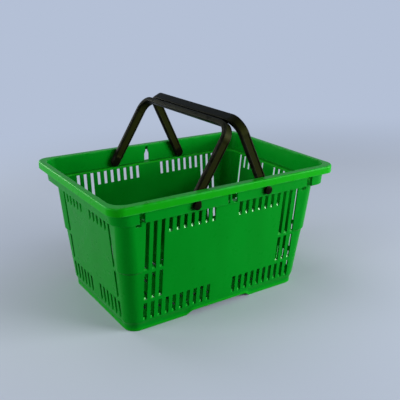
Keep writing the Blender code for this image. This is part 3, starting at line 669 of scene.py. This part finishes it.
def bar_surface(h):
    """Closed skin of the bar: its section carried from one round leg end over both bends to the other.

    A leg ends in a half circle round its pivot: a point at some distance from the bar's middle line turns
    about the pivot at that distance, so the rounded edge runs on round the end.
    """
    across, through, deep = bar_section(h)
    sign = np.concatenate([np.ones(len(across)), -np.ones(len(across))])
    loop_a = np.concatenate([across, across[::-1]])
    loop_t = np.concatenate([through, through[::-1]])
    loop_d = np.concatenate([deep, deep[::-1]])
    sign = np.concatenate([sign, sign[::-1]])
    face = np.concatenate([np.ones(len(loop_a)), -np.ones(len(loop_a))])
    loop_a, loop_t, loop_d = (np.tile(v, 2) for v in (loop_a, loop_t, loop_d))
    bend_y, bend_z = h.leg_out - h.bend, h.reach - h.bend
    start, stop = h.width / 2, bend_z
    # Stations of half the bar: turn about the pivot, height up the leg, turn round the bend, channel share
    fade = np.array([0.0, 0.16, 0.5, 0.84, 1.0])
    run = h.channel_runout * np.linspace(0, 1, len(fade))
    round_end, round_bend = np.zeros(END_ROWS), np.zeros(BEND_ROWS)
    leg = np.zeros(2 * len(fade))
    end_turn = np.concatenate([np.linspace(90, 0, END_ROWS), leg, round_bend])
    height = np.concatenate([round_end, start + run, stop - run[::-1], round_bend + stop])
    bend = np.concatenate([round_end, leg, np.linspace(90 / BEND_ROWS, 90, BEND_ROWS)])
    channel = np.concatenate([round_end, fade, fade[::-1], round_bend])
    end_turn, bend = np.radians(end_turn)[:, None], np.radians(bend)[:, None]
    height, channel = height[:, None], channel[:, None]
    t = face * (loop_t - channel * h.channel_depth * loop_d)
    x = sign * loop_a * np.cos(end_turn)
    drop = loop_a * np.sin(end_turn)
    radius = h.bend - h.thick / 2 + t
    y = bend_y + radius * np.cos(bend)
    z = height - drop + radius * np.sin(bend)
    half = np.stack([x, y, z], axis=-1)
    other = half[::-1] * (1, -1, 1)
    rows = np.concatenate([half, other])
    count, loop = rows.shape[:2]
    faces = cells(closed_net(count, loop)).reshape(-1, 4)
    wear_and_sheen = np.where(np.abs(loop_a) > h.width / 2 - 0.8 * h.edge, 1.0, 0.0) * np.ones((count, 1))
    # The painted sheen runs along the leg's channel and fades out part way round the bend.
    along = np.concatenate([round_end, fade, np.ones(len(fade)), np.clip(2.2 - np.linspace(0, 3, BEND_ROWS), 0, 1)])
    painted_sheen = np.concatenate([along, along[::-1]])[:, None] * loop_d
    return rows.reshape(-1, 3), faces, np.stack([wear_and_sheen, painted_sheen], axis=-1).reshape(-1, 2)


def head_outline(h, grow):
    """Round peg head with a lobe up the leg, moved out by grow, as 48 points (across, up)."""
    tilt = math.asin((h.head_radius - h.lobe_radius) / h.lobe_reach)
    lobe = np.linspace(tilt, math.pi - tilt, 16)
    body = np.linspace(math.pi - tilt, 2 * math.pi + tilt, 33)[1:-1]
    small, large = h.lobe_radius + grow, h.head_radius + grow
    across = np.concatenate([small * np.cos(lobe), large * np.cos(body)])
    up = np.concatenate([h.lobe_reach + small * np.sin(lobe), large * np.sin(body)])
    return np.stack([across, up], axis=-1)


def peg_surface(h, side):
    """A pivot peg with its head: outlines carried out along the pivot, ending in a shallow dome."""
    outline = head_outline(h, 0.0)
    shaft = outline / np.linalg.norm(outline, axis=1, keepdims=True) * h.peg_radius
    edge = 1.1 * MM
    root, top = h.leg_out - 1.5 * MM, h.head_seat + h.head_thick
    rows = [(shaft * 0.0, root), (shaft, root), (shaft, h.head_seat), (head_outline(h, -0.3 * MM), h.head_seat),
            (outline, h.head_seat + 0.3 * MM)]
    for s, c in zip(*turn(0, 80, 6)):
        rows.append((head_outline(h, -edge * (1 - c)), top - edge * (1 - s)))
    middle = np.array([0.0, 0.3 * h.lobe_reach])
    last = head_outline(h, -edge)
    for share, rise in ((0.8, 0.12), (0.55, 0.26), (0.28, 0.36), (0.0, 0.4)):
        rows.append((middle + (last - middle) * share, top + rise * MM))
    points = np.stack([np.column_stack([o[:, 0], np.full(len(o), side * y), o[:, 1]]) for o, y in rows])
    count, loop = points.shape[:2]
    faces = cells(closed_net(count, loop)).reshape(-1, 4)
    wear_and_sheen = np.zeros((count, loop, 2))
    wear_and_sheen[5:9, :, 0] = 0.3
    return points.reshape(-1, 3), faces if side > 0 else faces[:, ::-1], wear_and_sheen.reshape(-1, 2)


def merge_points(points, faces, wear_and_sheen):
    """Join points that fall together at poles and seams, and drop the corners and faces that this closes up."""
    _, first, number = np.unique(np.round(points / (0.002 * MM)).astype(np.int64), axis=0,
                                 return_index=True, return_inverse=True)
    faces = number.reshape(-1)[faces]
    repeat = faces == np.roll(faces, -1, axis=1)
    quads = faces[~repeat.any(axis=1)]
    threes = faces[repeat.sum(axis=1) == 1]
    threes = threes[~repeat[repeat.sum(axis=1) == 1]].reshape(-1, 3)
    return points[first], quads.tolist() + threes.tolist(), wear_and_sheen[first]


def handle_surface(h, side, lean):
    """Bar and pegs of one handle, leaning inwards over the tub about its pivot."""
    parts = [bar_surface(h), peg_surface(h, -1), peg_surface(h, 1)]
    offsets = np.cumsum([0] + [len(p) for p, _, _ in parts])
    points = np.concatenate([p for p, _, _ in parts])
    faces = np.concatenate([f + o for (_, f, _), o in zip(parts, offsets)])
    wear_and_sheen = np.concatenate([w for _, _, w in parts])
    turned = np.array(Matrix.Rotation(-side * lean, 3, "Y"))
    points = points @ turned.T + PIVOTS["handle_left" if side < 0 else "handle_right"]
    return merge_points(points, faces, wear_and_sheen)


# ---------------------------------------------------------------- materials

def linear(value):
    """sRGB hex value to linear red, green, blue and alpha."""
    parts = np.array([int(value[i:i + 2], 16) for i in (1, 3, 5)]) / 255.0
    parts = np.where(parts <= 0.04045, parts / 12.92, ((parts + 0.055) / 1.055) ** 2.4)
    return (*parts.tolist(), 1.0)


def node(tree, kind, inputs=(), **settings):
    """Add a node: settings are its own fields, inputs are (socket, value or socket of another node)."""
    made = tree.nodes.new(kind)
    for key, value in settings.items():
        setattr(made, key, value)
    for key, value in inputs:
        socket = made.inputs[key]
        if isinstance(value, bpy.types.NodeSocket):
            tree.links.new(value, socket)
        else:
            socket.default_value = value
    return made


def new_tree(name):
    material = bpy.data.materials.new(name)
    material.use_nodes = True
    material.node_tree.nodes.clear()
    return material, material.node_tree


def per_metre(millimetres):
    """Noise scale on Object coordinates for a feature of this size."""
    return 1.0 / (millimetres * MM)


def moulded_plastic(name, base, deep, worn, bright, roughness, specular, tint):
    """Injection-moulded polypropylene from a finely spark-eroded mould.

    To the eye: a satin skin with a faint grain, long soft flow streaks in its colour, walls that are never quite
    flat, and edges that handling has rubbed pale and dull. The grain is 0.4 mm on the real thing and is drawn
    at 1.1 mm so that it shows.
    """
    material, tree = new_tree(name)
    place = node(tree, "ShaderNodeTexCoord").outputs["Object"]
    stretch, scuff = (
        node(tree, "ShaderNodeMapping", [("Vector", place), ("Rotation", turned), ("Scale", scale)]).outputs[0]
        for turned, scale in (((0.0, 0.0, 0.0), (1.0, 1.0, 0.35)), ((0.3, 0.9, 0.5), (1.0, 0.06, 0.9))))
    flow, grain, smear, scratch = (
        node(tree, "ShaderNodeTexNoise", [("Vector", at), ("Scale", per_metre(mm)), ("Detail", detail)]).outputs["Fac"]
        for at, mm, detail in ((stretch, 45, 4.0), (place, 1.1, 2.0), (place, 14, 5.0), (scuff, 1.4, 3.0)))
    wear, rim, polished = (
        node(tree, "ShaderNodeAttribute", attribute_name=label).outputs["Fac"]
        for label in ("worn", "bright", "polished"))
    patch, lines, streak, rough, bare = (
        node(tree, "ShaderNodeMapRange", [("Value", value), ("From Min", low), ("From Max", high), ("To Min", first),
                                          ("To Max", last)]).outputs[0]
        for value, low, high, first, last in (
            (smear, 0.38, 0.66, 0.0, 1.0), (scratch, 0.67, 0.74, 0.0, 0.25), (flow, 0.35, 0.65, 0.0, 1.0),
            (smear, 0.3, 0.7, roughness - 0.05, roughness + 0.07), (polished, 0.0, 1.0, 0.12, 0.0)))
    rubbed = node(tree, "ShaderNodeMath", [(0, wear), (1, patch)], operation="MULTIPLY").outputs[0]
    pale = node(tree, "ShaderNodeMath", [(0, rubbed), (1, lines)], operation="MAXIMUM").outputs[0]
    pale = node(tree, "ShaderNodeMath", [(0, pale), (1, 0.45)], operation="MULTIPLY").outputs[0]
    # rim carries the painted light share, and the sills' painted glint is joined to it: both mix the lighter colour in
    # as painted highlight, or as painted sheen on the handles.
    rim = node(tree, "ShaderNodeMath", [(0, rim), (1, polished)], operation="MAXIMUM").outputs[0]
    skin = linear(deep)
    for share, tone in ((streak, base), (rim, bright), (pale, worn)):
        skin = node(tree, "ShaderNodeMix", [("Factor", share), (6, skin), (7, linear(tone))],
                    data_type="RGBA").outputs[2]
    rough = node(tree, "ShaderNodeMath", [(0, pale), (1, 0.3), (2, rough)], operation="MULTIPLY_ADD").outputs[0]
    rough = node(tree, "ShaderNodeMix", [("Factor", polished), (2, rough), (3, 0.22)]).outputs[0]
    wave = node(tree, "ShaderNodeBump", [("Height", smear), ("Strength", 0.10), ("Distance", 0.6 * MM)])
    fine = node(tree, "ShaderNodeBump", [("Height", grain), ("Strength", bare), ("Distance", 0.08 * MM),
                                         ("Normal", wave.outputs[0])])
    shader = node(tree, "ShaderNodeBsdfPrincipled", [
        ("Base Color", skin), ("Roughness", rough), ("IOR", 1.49), ("Specular IOR Level", specular),
        ("Specular Tint", linear(tint)), ("Coat Weight", polished), ("Coat Roughness", 0.2), ("Coat IOR", 2.1),
        ("Normal", fine.outputs[0])])
    node(tree, "ShaderNodeOutputMaterial", [("Surface", shader.outputs[0])])
    return material


def plain_rays(tree):
    """1 for the camera, glossy and transmission rays, which see the floor and backdrop as they look."""
    ray = node(tree, "ShaderNodeLightPath").outputs
    first = node(tree, "ShaderNodeMath", [(0, ray["Is Camera Ray"]), (1, ray["Is Glossy Ray"])], operation="MAXIMUM")
    return node(tree, "ShaderNodeMath", [(0, first.outputs[0]), (1, ray["Is Transmission Ray"])],
                operation="MAXIMUM").outputs[0]


def studio_floor(finish):
    """Matt painted board: an even pale coat with a very faint mottle.

    Away from the object it fades into a plain pale backdrop, and light that bounces off it is dimmed, so that the
    pale floor doesn't wash out the object.
    """
    material, tree = new_tree("matt painted board")
    place = node(tree, "ShaderNodeTexCoord").outputs["Object"]
    mottle = node(tree, "ShaderNodeTexNoise", [("Vector", place), ("Scale", per_metre(60)), ("Detail", 3.0)])
    rough = node(tree, "ShaderNodeMapRange", [("Value", mottle.outputs["Fac"]), ("To Min", 0.75), ("To Max", 0.9)])
    coat = node(tree, "ShaderNodeBsdfPrincipled", [
        ("Base Color", linear(finish.floor)), ("Roughness", rough.outputs[0]), ("Specular IOR Level", 0.1)])
    glow = node(tree, "ShaderNodeEmission", [("Color", linear(finish.backdrop)), ("Strength", 1.0)])
    dim = node(tree, "ShaderNodeBsdfDiffuse", [("Color", linear(finish.floor_bounce))])
    oval = node(tree, "ShaderNodeVectorMath", [(0, place), (1, (0.64, 1.0, 1.0))], operation="MULTIPLY").outputs[0]
    away = node(tree, "ShaderNodeVectorMath", [(0, oval)], operation="LENGTH").outputs["Value"]
    near = node(tree, "ShaderNodeMapRange", [("Value", away), ("From Min", 0.15), ("From Max", 0.42), ("To Max", 0.4)],
                interpolation_type="SMOOTHSTEP").outputs[0]
    far = node(tree, "ShaderNodeMapRange", [("Value", away), ("From Min", 0.2), ("From Max", 1.3)],
               interpolation_type="SMOOTHSTEP").outputs[0]
    fade = node(tree, "ShaderNodeMath", [(0, near), (1, far)], operation="MAXIMUM").outputs[0]
    seen = node(tree, "ShaderNodeMixShader", [(0, fade), (1, coat.outputs[0]), (2, glow.outputs[0])])
    mixed = node(tree, "ShaderNodeMixShader", [(0, plain_rays(tree)), (1, dim.outputs[0]), (2, seen.outputs[0])])
    node(tree, "ShaderNodeOutputMaterial", [("Surface", mixed.outputs[0])])
    return material


# ---------------------------------------------------------------- operators

class BASKET_OT_tub(bpy.types.Operator):
    """Build the moulded tub with its slots, ledge, band and rolled rim"""
    bl_idname = "basket.tub"
    bl_label = "Build tub"

    def execute(self, context):
        scene = context.scene
        finish = scene.basket_finish
        points, faces, edges, paint = TubNet(scene.basket_tub, scene.basket_handles.hole_radius).build()
        skin = moulded_plastic("moulded green polypropylene", finish.green, finish.green_deep, finish.green_worn,
                               finish.green_painted_light, 0.30, 0.10, finish.green_gloss)
        tub = make_piece("tub", points, faces, skin, paint, edges, scene.basket_tub.soft_edge)
        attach(tub, "basket_body")
        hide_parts("basket_body")
        return {"FINISHED"}


class BASKET_OT_handles(bpy.types.Operator):
    """Build both handles with their pivot pegs"""
    bl_idname = "basket.handles"
    bl_label = "Build handles"

    def execute(self, context):
        scene = context.scene
        sizes, finish = scene.basket_handles, scene.basket_finish
        skin = moulded_plastic("moulded black polypropylene", finish.black, finish.black, finish.black_worn,
                               finish.black_painted_sheen, 0.38, 0.035, finish.black_gloss)
        for name, side, lean in (("left", -1, sizes.lean_left), ("right", 1, sizes.lean_right)):
            points, faces, wear_and_sheen = handle_surface(sizes, side, lean)
            bar = make_piece("carrying_handle_" + name, points, faces, skin, {"worn": wear_and_sheen[:, 0], "bright": wear_and_sheen[:, 1]})
            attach(bar, "handle_" + name)
            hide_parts("handle_" + name)
        return {"FINISHED"}


class BASKET_OT_stage(bpy.types.Operator):
    """Set up the plain floor, the soft lights and the camera"""
    bl_idname = "basket.stage"
    bl_label = "Set stage"

    def execute(self, context):
        scene = context.scene
        scene.view_settings.view_transform = "Standard"
        half = 30.0
        corners = np.array([(-half, -half, 0), (half, -half, 0), (half, half, 0), (-half, half, 0)])
        mesh = bpy.data.meshes.new("studio_floor")
        mesh.from_pydata(corners, [], [(0, 1, 2, 3)])
        mesh.materials.append(studio_floor(scene.basket_finish))
        ground = bpy.data.objects.new("studio_floor", mesh)
        scene.collection.objects.link(ground)
        # Soft lamps: place and size in metres, power in watts
        for name, place, wide, high, power in (
                ("front light", (1.65, -1.40, 0.42), 1.4, 0.5, 54.0),
                ("left light", (-1.85, 0.20, 0.52), 1.2, 0.5, 24.0),
                ("high light", (0.92, -1.18, 0.80), 1.10, 0.30, 9.5),
                ("top light", (-0.30, 0.50, 1.80), 1.2, 1.2, 5.0),
                ("back light", (-0.70, 1.75, 0.45), 0.9, 0.5, 13.0)):
            lamp = bpy.data.lights.new(name, "AREA")
            lamp.shape = "RECTANGLE"
            lamp.size, lamp.size_y = wide, high
            lamp.energy = power
            holder = bpy.data.objects.new(name, lamp)
            holder.location = place
            holder.rotation_euler = (Vector((0.0, 0.0, 0.15)) - Vector(place)).to_track_quat("-Z", "Y").to_euler()
            holder.visible_camera = False
            scene.collection.objects.link(holder)
        world = bpy.data.worlds.new("studio")
        world.use_nodes = True
        tree = world.node_tree
        tree.nodes.clear()
        dim = node(tree, "ShaderNodeBackground", [("Color", linear("#DDE2EA")), ("Strength", 0.06)])
        seen = node(tree, "ShaderNodeBackground", [("Color", linear(scene.basket_finish.backdrop)), ("Strength", 1.0)])
        both = node(tree, "ShaderNodeMixShader", [(0, plain_rays(tree)), (1, dim.outputs[0]), (2, seen.outputs[0])])
        node(tree, "ShaderNodeOutputWorld", [("Surface", both.outputs[0])])
        scene.world = world
        lens = bpy.data.cameras.new("camera")
        lens.sensor_width = 36.0
        lens.lens = 54.519
        camera = bpy.data.objects.new("camera", lens)
        # Camera fitted to the photo: its right, up and backward directions and its place in metres
        axes = np.eye(4)
        axes[:3, 0] = 0.83146, -0.55545, 0.01228
        axes[:3, 1] = 0.17892, 0.28861, 0.94057
        axes[:3, 2] = -0.52599, -0.77985, 0.33935
        axes[:3, 3] = -0.5476, -0.8600, 0.5278
        camera.matrix_world = Matrix(axes.tolist())
        scene.collection.objects.link(camera)
        scene.camera = camera
        return {"FINISHED"}


class BASKET_PT_parts(bpy.types.Panel):
    """Lists the pieces of the basket with their settings"""
    bl_idname = "BASKET_PT_parts"
    bl_label = "Shopping basket"
    bl_space_type = "VIEW_3D"
    bl_region_type = "UI"
    bl_category = "Basket"

    def draw(self, context):
        for operator, group in (("basket.tub", "basket_tub"), ("basket.handles", "basket_handles"),
                                ("basket.stage", "basket_finish")):
            box = self.layout.box()
            box.operator(operator)
            settings = getattr(context.scene, group)
            for name in settings.__annotations__:
                box.prop(settings, name)


CLASSES = (BasketTubSizes, BasketHandleSizes, BasketFinish, BASKET_OT_tub, BASKET_OT_handles, BASKET_OT_stage,
           BASKET_PT_parts)


def register():
    for item in CLASSES:
        bpy.utils.register_class(item)
    bpy.types.Scene.basket_tub = bpy.props.PointerProperty(type=BasketTubSizes)
    bpy.types.Scene.basket_handles = bpy.props.PointerProperty(type=BasketHandleSizes)
    bpy.types.Scene.basket_finish = bpy.props.PointerProperty(type=BasketFinish)


def unregister():
    for name in ("basket_tub", "basket_handles", "basket_finish"):
        delattr(bpy.types.Scene, name)
    for item in reversed(CLASSES):
        bpy.utils.unregister_class(item)


def main():
    register()
    bpy.ops.basket.tub()
    bpy.ops.basket.handles()
    bpy.ops.basket.stage()


if __name__ == "__main__":
    main()
